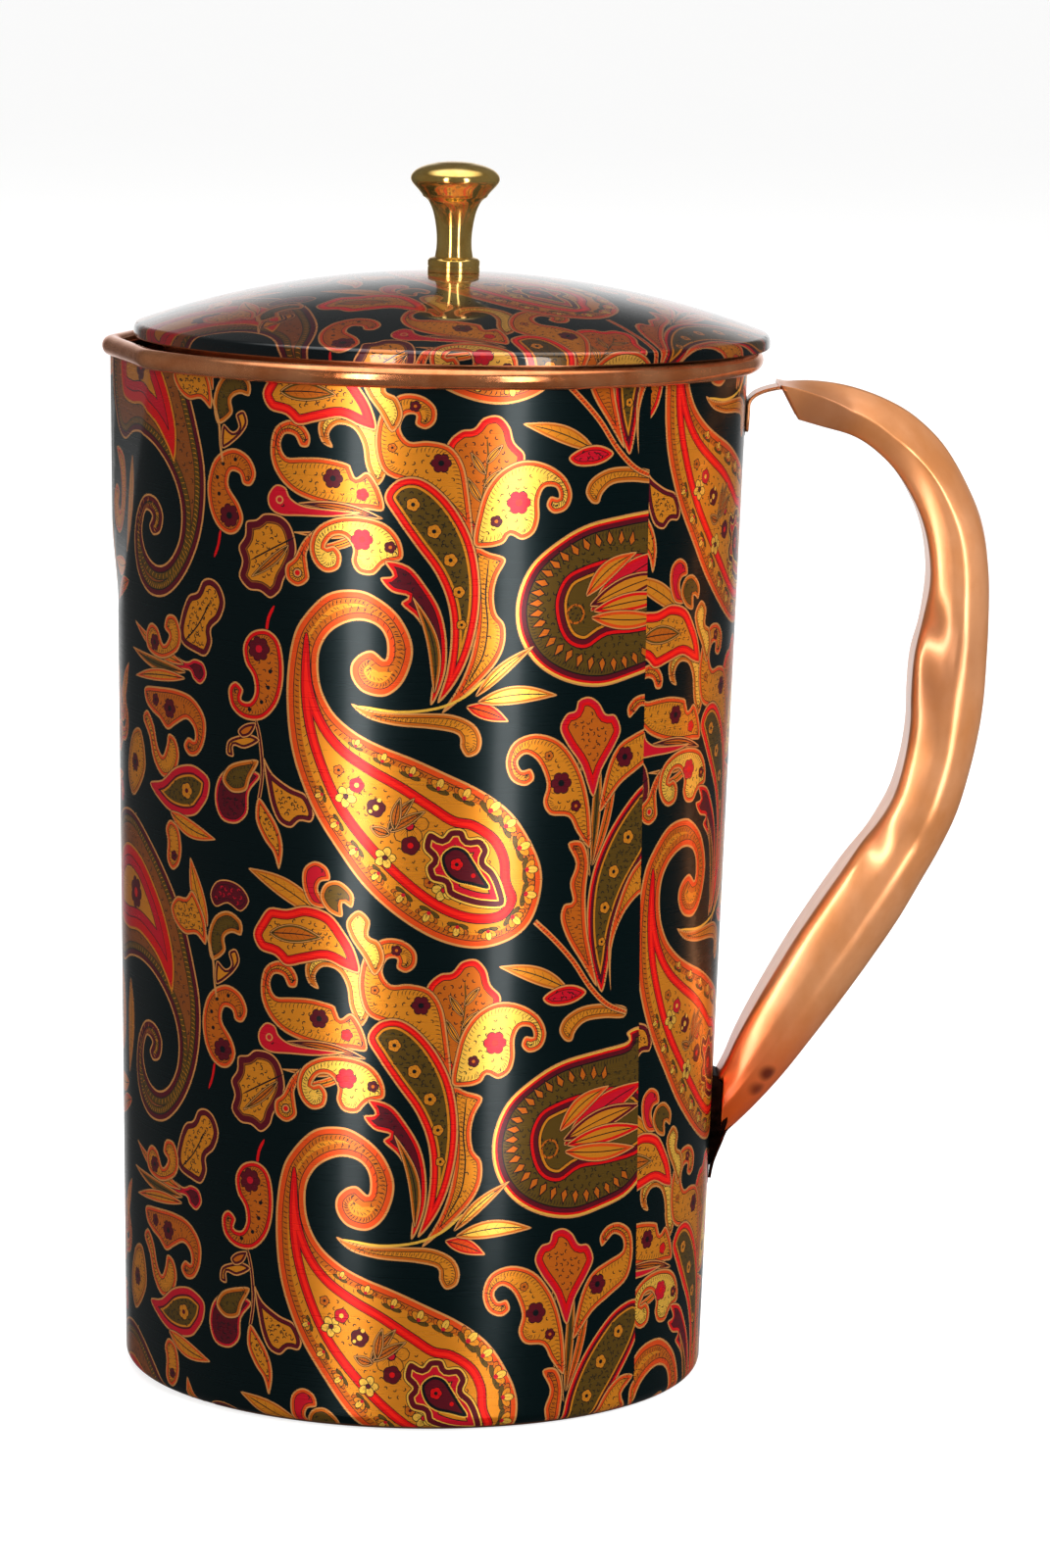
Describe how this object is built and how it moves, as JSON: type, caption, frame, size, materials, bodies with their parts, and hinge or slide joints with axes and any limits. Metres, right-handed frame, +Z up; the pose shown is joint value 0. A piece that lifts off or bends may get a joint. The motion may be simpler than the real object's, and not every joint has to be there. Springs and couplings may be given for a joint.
{
  "type": "water jug",
  "caption": "Tapered copper water jug with a pressed pouring lip, rolled rim, hollow side handle, lift-off domed lid with a turned brass knob, and an all-over paisley print.",
  "frame": {"origin": "centre of the jug's flat base, on the jug's own axis, at the surface it stands on", "axes": "+Z up along the jug's axis towards the knob, +X towards the handle, -X towards the pouring lip, +Y across, away from a viewer who sees the handle on the right"},
  "size_m": [0.1707, 0.126, 0.2324],
  "materials": {
    "copper_inside": "satin bare copper",
    "copper_polished": "polished bare copper",
    "copper_satin": "satin brushed copper",
    "copper_wire": "bare wire",
    "printed_lacquer": "gloss lacquer over a paisley print",
    "braze": "dull braze",
    "solder": "dull solder",
    "brass_polished": "polished brass",
    "screw_steel": "plated steel"
  },
  "bodies": {
    "jug": {"body_shell": "copper_inside", "body_print_wrap": "printed_lacquer", "rim_bead": "copper_polished", "rim_core_wire": "copper_wire", "handle_shell": "copper_satin", "handle_finger_strip": "copper_satin", "handle_upper_braze": "braze", "handle_lower_braze": "braze"},
    "lid": {"lid_dome": "copper_inside", "lid_print_film": "printed_lacquer", "lid_collar": "copper_inside", "lid_collar_solder": "solder", "lid_knob": "brass_polished", "knob_washer": "brass_polished", "knob_screw": "screw_steel"}
  },
  "joints": [
    {"name": "lid_lift", "type": "slide", "parent": "jug", "child": "lid", "axis": [0, 0, 1], "range_m": [0, 0.06]}
  ]
}
